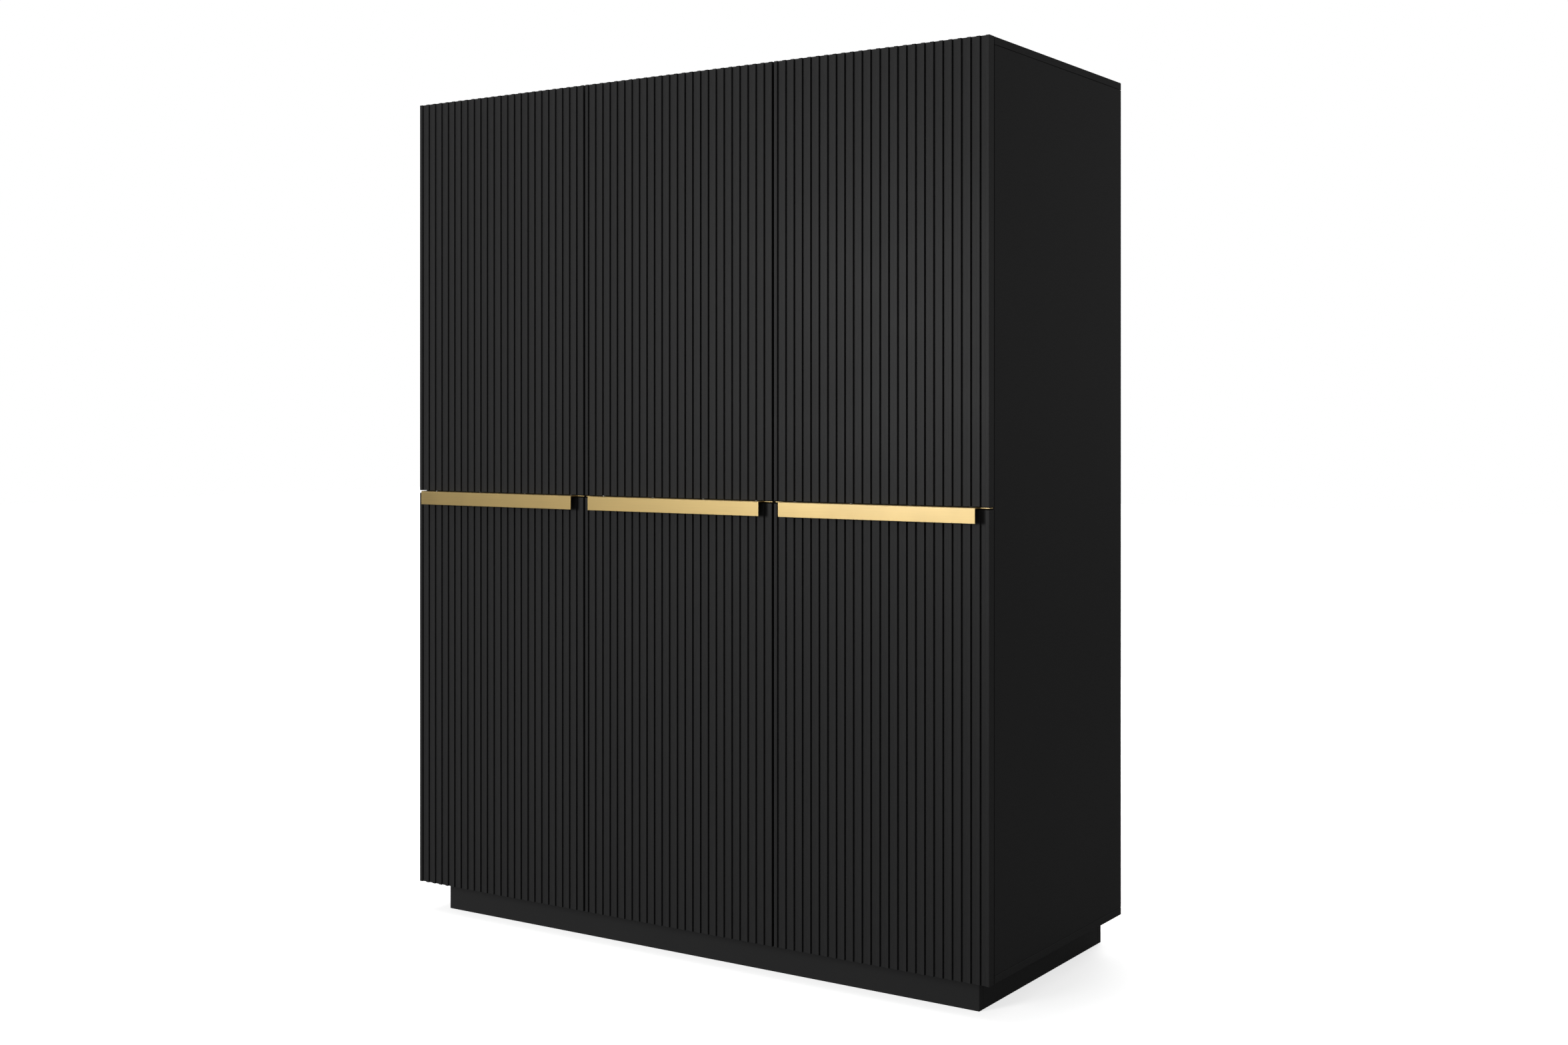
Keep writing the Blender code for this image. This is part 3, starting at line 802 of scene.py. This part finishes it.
@dataclass
class FlutedLeaf:
    """One door leaf: a milled slab with square slats, and its rubber bumpers."""

    level: Level
    column: Column
    slats: int = 25
    slat_width: float = 0.0080
    centre_extra: float = 0.0007
    flute_depth: float = 0.0042
    edge_round: float = 0.0007
    cup_radius: float = 0.0175
    cup_play: float = 0.0003
    bumper_radius: float = 0.0045
    bumper_height: float = 0.0015
    bumper_inset: float = 0.008
    bumper_side_inset: float = 0.030
    dome_share: float = 0.8
    dome_steps: int = 4

    @property
    def node(self) -> str:
        """The leaf's CAD node."""
        return f"door_{self.level.value}_{self.column.word}"

    @property
    def body(self) -> str:
        """The body that the leaf is."""
        return f"leaf_{self.level.value}_{self.column.word}"

    def slat_edges(self, width: float) -> list:
        """Return the left and right edge of each slat, from the leaf's left edge."""
        pitch = (width - self.slat_width - self.centre_extra) / (self.slats - 1)
        centre = self.slats // 2
        spans = []
        for index in range(self.slats):
            left = index * pitch + (self.centre_extra if index > centre else 0.0)
            extra = self.centre_extra if index == centre else 0.0
            spans.append((left, left + self.slat_width + extra))
        return spans

    def slab(self) -> Shape:
        """Return the slab with its slats pulled out of a thinner board."""
        low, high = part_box(self.node)
        flute_y = low.y + self.flute_depth
        shape = Shape.box((low.x, flute_y, low.z), high)
        spans = self.slat_edges(high.x - low.x)
        inner_cuts = [low.x + x for span in spans for x in span][1:-1]
        for x in inner_cuts:
            shape.cut((x, 0, 0), (1, 0, 0))

        def is_slat(face: bmesh.types.BMFace) -> bool:
            """Tell whether a face is the front of a slat."""
            middle = face.calc_center_median()
            on_front = abs(middle.y - flute_y) < SAME_PLACE and abs(face.normal.y) > SAME_WAY
            return on_front and any(left < middle.x - low.x < right for left, right in spans)

        shape.pull(shape.faces(is_slat), (0, -self.flute_depth, 0))
        outer = shape.edges(lambda edge: all(vert.co.y < low.y + SAME_PLACE for vert in edge.verts))
        back = shape.edges(lambda edge: all(vert.co.y > high.y - SAME_PLACE for vert in edge.verts)
                           and edge.calc_face_angle(0.0) > CORNER_ANGLE)
        return shape.round(outer + back, self.edge_round)

    def bumpers(self) -> Shape:
        """Return the two clear bumpers on the end away from the split."""
        low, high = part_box(self.node)
        inset = self.bumper_inset
        z = low.z + inset if self.level is Level.LOWER else high.z - inset
        shape = Shape()
        for x in (low.x + self.bumper_side_inset, high.x - self.bumper_side_inset):
            dome = Shape.rod((x, high.y, z), (x, high.y + self.bumper_height, z), self.bumper_radius)
            rim = dome.edges(lambda edge: all(vert.co.y > high.y + self.bumper_height / 2
                                              for vert in edge.verts))
            shape.join(dome.round(rim, self.bumper_height * self.dome_share, self.dome_steps))
        return shape

    def cup_holes(self) -> list:
        """Return the shapes of the two blind holes for the hinge cups."""
        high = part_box(self.node)[1]
        holes = []
        for number in HINGES_PER_LEAF:
            cup_low, cup_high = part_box(f"hinge_cup_{self.level.value}_{self.column.word}_{number}")
            middle = (cup_low + cup_high) / 2
            holes.append(Shape.rod((middle.x, cup_low.y - self.cup_play, middle.z),
                                   (middle.x, high.y + self.cup_play, middle.z),
                                   self.cup_radius + self.cup_play, CUP_ROUND))
        return holes

    def build(self, shop: Workshop) -> None:
        """Build the leaf with its blind holes, and the bumpers."""
        shop.add(f"fluted_{self.node}", self.slab(), shop.palette.lacquer, self.body, "door_lacquer",
                 [self.node], self.cup_holes(), smooth=False)
        shop.add(f"bumpers_{self.level.value}_{self.column.word}", self.bumpers(), shop.palette.rubber,
                 self.body, "black_plastic")


# ---------------------------------------------------------------- handles

@dataclass
class LipHandle:
    """A folded sheet handle on a lower leaf, with its screws and spacers."""

    column: Column
    sheet: float = 0.002
    inner_bend: float = 0.0004
    bend_steps: int = 8
    edge_round: float = 0.00035
    ear_length: float = 0.021
    plate_depth: float = 0.0148
    fixings: int = 4
    fixing_inset: float = 0.045
    screw_radius: float = 0.0036
    screw_height: float = 0.0009
    spacer_radius: float = 0.005

    @property
    def node(self) -> str:
        """The handle's CAD node."""
        return f"handle_{self.column.word}"

    @property
    def body(self) -> str:
        """The leaf that carries the handle."""
        return f"leaf_lower_{self.column.word}"

    def fold(self) -> Shape:
        """Return the sheet: a plate between two ears, drawn forward and folded down."""
        low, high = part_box(self.node)
        front, back = high.y - self.plate_depth, high.y
        shape = Shape.box((low.x, front, high.z - self.sheet), (high.x, back, high.z))
        lip_left, lip_right = low.x + self.ear_length, high.x - self.ear_length
        for x in (lip_left, lip_right):
            shape.cut((x, 0, 0), (1, 0, 0))
        outer = self.sheet + self.inner_bend
        middle = shape.faces(lambda face: face.normal.y < -SAME_WAY
                             and lip_left < face.calc_center_median().x < lip_right)
        nose = shape.pull(middle, (0, low.y + outer - front, 0))
        turned = bmesh.ops.spin(shape.bm, geom=nose, cent=(0, low.y + outer, high.z - outer),
                                axis=(1, 0, 0), angle=math.pi / 2, steps=self.bend_steps,
                                use_merge=False, use_normal_flip=False, use_duplicate=False)
        end = [item for item in turned["geom_last"] if isinstance(item, bmesh.types.BMFace)]
        bottom = min(vert.co.z for face in end for vert in face.verts)
        shape.pull(end, (0, 0, low.z - bottom))
        return shape.round(shape.sharp_edges(), self.edge_round)

    def build(self, shop: Workshop) -> None:
        """Build the handle, the screws above its plate and the spacers below it."""
        low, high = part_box(self.node)
        leaf_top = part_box(f"door_lower_{self.column.word}")[1].z
        y = high.y - self.plate_depth / 2
        first, last = low.x + self.fixing_inset, high.x - self.fixing_inset
        spots = [first + (last - first) * index / (self.fixings - 1) for index in range(self.fixings)]
        heads, recesses = screw_row([(x, y, high.z) for x in spots], (0, 0, 1), self.screw_radius,
                                   self.screw_height)
        spacers = Shape()
        for x in spots:
            spacers.join(Shape.rod((x, y, leaf_top), (x, y, high.z - self.sheet), self.spacer_radius))
        shop.add(f"folded_{self.node}", self.fold(), shop.palette.gold, self.body, "handle_metal",
                 [self.node])
        shop.add(f"screws_{self.node}", heads, shop.palette.nickel, self.body, "steel", cuts=recesses)
        shop.add(f"spacers_{self.node}", spacers, shop.palette.gold, self.body, "handle_metal")


# ---------------------------------------------------------------- concealed hinges

@dataclass
class ConcealedHinge:
    """The small pieces of one hinge: screws in the cup and the plate, and the links in the cup."""

    level: Level
    column: Column
    number: int
    link_depth: float = 0.0115
    link_width: float = 0.0060
    link_spread: float = 0.0090
    link_sheet: float = 0.0014
    link_inset: float = 0.0030
    link_end_share: float = 0.35
    link_end_steps: int = 4
    pin_radius: float = 0.0014
    pin_half_length: float = 0.0062
    cup_screw_spread: float = 0.024
    cup_screw_radius: float = 0.0038
    cup_screw_height: float = 0.0011
    plate_thickness: float = 0.0025
    plate_screw_spread: float = 0.016
    plate_screw_depth: float = 0.037
    plate_screw_radius: float = 0.0042
    plate_screw_height: float = 0.0013
    adjuster_depths: tuple = (0.030, 0.052)
    adjuster_radius: float = 0.0036

    @property
    def place(self) -> str:
        """The end of the hinge's node names."""
        return f"{self.level.value}_{self.column.word}_{self.number}"

    @property
    def inward(self) -> int:
        """The direction along X from the hinged board into the bay."""
        return -self.column.hinge_side

    def add_cup_screws(self, shop: Workshop) -> None:
        """Add the two screws of the cup's flange."""
        low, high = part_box(f"hinge_cup_{self.place}")
        middle = (low + high) / 2
        spots = [(middle.x, high.y, middle.z + side * self.cup_screw_spread) for side in (-1, 1)]
        heads, recesses = screw_row(spots, (0, 1, 0), self.cup_screw_radius, self.cup_screw_height)
        shop.add(f"cup_screws_{self.place}", heads, shop.palette.nickel,
                 f"leaf_{self.level.value}_{self.column.word}", "steel", cuts=recesses)

    def add_links(self, shop: Workshop) -> None:
        """Add the two links that reach from the arm into the cup, and their pin."""
        low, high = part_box(f"hinge_arm_{self.place}")
        cup_low, cup_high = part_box(f"hinge_cup_{self.place}")
        middle_x, middle_z = (cup_low.x + cup_high.x) / 2, (low.z + high.z) / 2
        start = middle_x - self.inward * self.link_inset
        left, right = sorted((start, start + self.inward * self.link_width))
        front = low.y - self.link_depth
        shape = Shape()
        for side in (-1, 1):
            z = middle_z + side * self.link_spread / 2
            plate = Shape.box((left, front, z - self.link_sheet / 2),
                              (right, low.y + self.link_sheet, z + self.link_sheet / 2))
            corners = plate.edges(
                lambda edge: abs(edge.verts[0].co.z - edge.verts[1].co.z) > self.link_sheet / 2
                and all(vert.co.y < low.y for vert in edge.verts))
            shape.join(plate.round(corners, self.link_width * self.link_end_share, self.link_end_steps))
        pin = ((left + right) / 2, front + self.link_width / 2)
        shape.join(Shape.rod((*pin, middle_z - self.pin_half_length),
                             (*pin, middle_z + self.pin_half_length), self.pin_radius, PIN_ROUND))
        shop.add(f"hinge_links_{self.place}", shape, shop.palette.nickel, CARCASS, "steel")

    def add_arm_screws(self, shop: Workshop) -> None:
        """Add the mounting screws and the adjusting screws of the arm."""
        low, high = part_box(f"hinge_arm_{self.place}")
        board_x, top_x = (low.x, high.x) if self.inward > 0 else (high.x, low.x)
        middle_z = (low.z + high.z) / 2
        outward = (self.inward, 0, 0)
        wing_x = board_x + self.inward * self.plate_thickness
        mounting = [(wing_x, low.y + self.plate_screw_depth, middle_z + side * self.plate_screw_spread)
                    for side in (-1, 1)]
        heads, recesses = screw_row(mounting, outward, self.plate_screw_radius, self.plate_screw_height)
        adjusting = [(top_x, low.y + depth, middle_z) for depth in self.adjuster_depths]
        tops, slots = screw_row(adjusting, outward, self.adjuster_radius, self.plate_screw_height)
        shop.add(f"arm_screws_{self.place}", heads.join(tops), shop.palette.nickel, CARCASS, "steel",
                 cuts=recesses + slots)

    def build(self, shop: Workshop) -> None:
        """Build the hinge's small pieces and dress its CAD nodes."""
        self.add_cup_screws(shop)
        self.add_links(shop)
        self.add_arm_screws(shop)
        shop.dress_node(f"hinge_cup_{self.place}", shop.palette.nickel)
        shop.dress_node(f"hinge_arm_{self.place}", shop.palette.nickel)


# ---------------------------------------------------------------- latches, rail and shelves

@dataclass
class PushLatch:
    """The push latch behind an upper leaf: its case with two screws, and its plunger."""

    column: Column
    screw_inset: float = 0.010
    screw_radius: float = 0.0035
    screw_height: float = 0.0012

    def build(self, shop: Workshop) -> None:
        """Build the latch's screws and dress its CAD nodes."""
        case, plunger = f"push_latch_body_{self.column.word}", f"push_latch_plunger_{self.column.word}"
        low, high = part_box(case)
        middle = (low + high) / 2
        spots = [(middle.x, y, high.z) for y in (low.y + self.screw_inset, high.y - self.screw_inset)]
        heads, recesses = screw_row(spots, (0, 0, 1), self.screw_radius, self.screw_height)
        shop.add(f"latch_screws_{self.column.word}", heads, shop.palette.nickel, CARCASS, "steel",
                 cuts=recesses)
        shop.dress_node(case, shop.palette.plastic)
        shop.dress_node(plunger, shop.palette.plastic)


@dataclass
class ClothesRail:
    """The oval rail and its sockets."""

    rail: str = "clothes_rail"
    sockets: tuple = ("rail_socket_left", "rail_socket_right")

    def build(self, shop: Workshop) -> None:
        """Dress the rail and its sockets."""
        shop.dress_node(self.rail, shop.palette.rail)
        for socket in self.sockets:
            shop.dress_node(socket, shop.palette.plastic)


@dataclass
class NarrowBay:
    """The narrow bay: loose shelves on pins, in boards with rows of pin holes."""

    shelves: tuple = ("shelf_lower_1", "shelf_lower_2", "shelf_upper_1", "shelf_upper_2")
    pin_radius: float = 0.0025
    pin_reach: float = 0.009
    pin_depth: float = 0.006
    collar_radius: float = 0.0042
    collar_height: float = 0.0012
    tip_round: float = 0.0004
    front_inset: float = 0.045
    back_inset: float = 0.060
    hole_depth: float = 0.009
    hole_pitch: float = 0.032
    holes_each_way: int = 3

    def walls(self) -> tuple:
        """Return each drilled board with its inner face and the direction into the bay."""
        return (("partition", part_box("partition")[1].x, 1), ("side_right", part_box("side_right")[0].x, -1))

    def rows(self, shelf: str) -> tuple:
        """Return the depths of the two rows of holes."""
        low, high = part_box(shelf)
        return low.y + self.front_inset, high.y - self.back_inset

    def pins(self, shelf: str) -> Shape:
        """Return the four pins under a shelf."""
        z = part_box(shelf)[0].z - self.pin_radius
        shape = Shape()
        for _, face, inward in self.walls():
            for y in self.rows(shelf):
                end = (face + inward * self.pin_reach, y, z)
                pin = Shape.rod((face - inward * self.pin_depth, y, z), end, self.pin_radius, PIN_ROUND)
                shape.join(pin.round(pin.sharp_edges(), self.tip_round))
                collar = Shape.rod((face, y, z), (face + inward * self.collar_height, y, z),
                                   self.collar_radius, SCREW_ROUND)
                shape.join(collar)
        return shape

    def holes(self, face: float, inward: int) -> list:
        """Return the shapes of all the pin holes in a board."""
        drills = []
        for shelf in self.shelves:
            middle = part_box(shelf)[0].z - self.pin_radius
            for step in range(-self.holes_each_way, self.holes_each_way + 1):
                z = middle + step * self.hole_pitch
                for y in self.rows(shelf):
                    drills.append(Shape.rod((face - inward * self.hole_depth, y, z),
                                            (face + inward * self.collar_height, y, z),
                                            self.pin_radius, PIN_ROUND))
        return drills

    def build(self, shop: Workshop) -> None:
        """Build the drilled boards and the pins, and dress the shelves."""
        for node, face, inward in self.walls():
            shop.add(f"drilled_{node}", Shape.of_node(node), shop.palette.board, CARCASS, "carcass_board",
                     [node], self.holes(face, inward))
        for shelf in self.shelves:
            shop.add(f"pins_{shelf}", self.pins(shelf), shop.palette.nickel, CARCASS, "steel")
            shop.dress_node(shelf, shop.palette.board)


@dataclass
class Carcass:
    """The boards of the body and the base, with their cam covers."""

    boards: tuple = ("side_left", "top_panel", "bottom_panel", "fixed_shelf_wide", "fixed_shelf_narrow")
    base_boards: tuple = ("plinth_front", "plinth_back", "plinth_left", "plinth_right")
    back_panels: tuple = ("back_panel_wide", "back_panel_narrow")
    cover_radius: float = 0.0088
    cover_height: float = 0.0007
    cover_round: float = 0.0003
    cover_side_inset: float = 0.034
    cover_end_inset: float = 0.060

    def cam_covers(self, shelf: str) -> Shape:
        """Return the flat covers over the cam fittings under a fixed shelf."""
        low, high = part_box(shelf)
        shape = Shape()
        for x in (low.x + self.cover_side_inset, high.x - self.cover_side_inset):
            for y in (low.y + self.cover_end_inset, high.y - self.cover_end_inset):
                cover = Shape.rod((x, y, low.z), (x, y, low.z - self.cover_height), self.cover_radius)
                shape.join(cover.round(cover.sharp_edges(), self.cover_round))
        return shape

    def build(self, shop: Workshop) -> None:
        """Dress the boards and add the cam covers."""
        for name in self.boards:
            shop.dress_node(name, shop.palette.board)
        for name in self.base_boards:
            shop.dress_node(name, shop.palette.plinth)
        for name in self.back_panels:
            shop.dress_node(name, shop.palette.hardboard)
        for bay in ("wide", "narrow"):
            shop.add(f"cam_covers_{bay}", self.cam_covers(f"fixed_shelf_{bay}"), shop.palette.plastic,
                     CARCASS, "black_plastic")


# ---------------------------------------------------------------- studio

@dataclass
class Softbox:
    """A rectangular soft light that looks at a point."""

    name: str
    place: tuple
    target: tuple
    size: tuple
    power: float
    glossy: bool = True

    def build(self) -> None:
        """Add the light."""
        light = bpy.data.lights.new(self.name, "AREA")
        light.shape = "RECTANGLE"
        light.size, light.size_y = self.size
        light.energy = self.power
        lamp = bpy.data.objects.new(self.name, light)
        lamp.location = self.place
        lamp.rotation_euler = (Vector(self.target) - Vector(self.place)).to_track_quat("-Z", "Y").to_euler()
        lamp.visible_camera = False
        lamp.visible_glossy = self.glossy
        bpy.context.scene.collection.objects.link(lamp)


@dataclass
class Studio:
    """The floor, the lights, the bright surroundings and the camera."""

    floor_size: float = 40.0
    floor_parts: int = 4
    camera_place: tuple = (2.446, -3.594, 1.189)
    camera_turn: float = 33.384
    focal_length: float = 43.0
    sensor_width: float = 36.0
    shift_down: float = 0.0680
    ambient: float = 0.28
    softboxes: tuple = field(default_factory=lambda: (
        Softbox("key_softbox", (-2.00, -6.30, 1.20), (0.1, -0.3, 1.1), (1.5, 1.5), 152.0, glossy=False),
        Softbox("sheen_softbox", (-1.15, -3.60, 1.52), (0.3, -0.3, 1.2), (0.9, 0.9), 27.0),
        Softbox("overhead_softbox", (-0.7, -0.2, 4.0), (-0.4, 0.0, 0.0), (2.6, 2.6), 50.0),
        Softbox("side_softbox", (4.50, 0.85, 0.20), (0.8, 0.0, 0.5), (1.8, 1.4), 17.5),
        Softbox("back_softbox", (-0.45, 4.00, 2.00), (0.0, 0.3, 1.0), (2.0, 2.0), 80.0),
    ))

    def build_floor(self, palette: Palette) -> None:
        """Add the floor."""
        shape = Shape()
        bmesh.ops.create_grid(shape.bm, x_segments=self.floor_parts, y_segments=self.floor_parts,
                              size=self.floor_size / 2)
        floor = bpy.data.objects.new("studio_floor", shape.mesh("studio_floor"))
        bpy.context.scene.collection.objects.link(floor)
        floor.data.materials.append(palette.floor)

    def build_world(self) -> None:
        """Make surroundings that look white and light the wardrobe softly."""
        world = bpy.data.worlds.new("studio_world")
        bpy.context.scene.world = world
        world.use_nodes = True
        world.node_tree.nodes.clear()
        sketch = Sketch(world.node_tree)
        seen = sketch.node("Background", {"Color": grey(1.0), "Strength": 1.0})
        lit = sketch.node("Background", {"Color": grey(1.0), "Strength": self.ambient})
        ray = sketch.node("LightPath").outputs["Is Camera Ray"]
        both = sketch.node("MixShader", {0: ray, 1: lit.outputs[0], 2: seen.outputs[0]})
        out = sketch.node("OutputWorld")
        world.node_tree.links.new(both.outputs[0], out.inputs[0])

    def build_camera(self) -> None:
        """Add the level camera at the front right."""
        camera = bpy.data.cameras.new("camera")
        camera.lens = self.focal_length
        camera.sensor_width = self.sensor_width
        camera.shift_y = -self.shift_down
        holder = bpy.data.objects.new("camera", camera)
        holder.location = self.camera_place
        holder.rotation_euler = (math.pi / 2, 0, math.radians(self.camera_turn))
        bpy.context.scene.collection.objects.link(holder)
        bpy.context.scene.camera = holder

    def build(self, palette: Palette) -> None:
        """Build the whole studio."""
        self.build_floor(palette)
        self.build_world()
        self.build_camera()
        for softbox in self.softboxes:
            softbox.build()
        bpy.context.scene.view_settings.view_transform = "Standard"


def main() -> None:
    """Build every piece in order."""
    logging.basicConfig(level=logging.INFO, format="%(name)s: %(message)s")
    palette = Palette(EffectGroups())
    shop = Workshop(palette)
    Studio().build(palette)
    Carcass().build(shop)
    NarrowBay().build(shop)
    ClothesRail().build(shop)
    for column in Column:
        for level in Level:
            FlutedLeaf(level, column).build(shop)
            for number in HINGES_PER_LEAF:
                ConcealedHinge(level, column, number).build(shop)
        LipHandle(column).build(shop)
        PushLatch(column).build(shop)
    log.info("%d new pieces", shop.count)


if __name__ == "__main__":
    main()
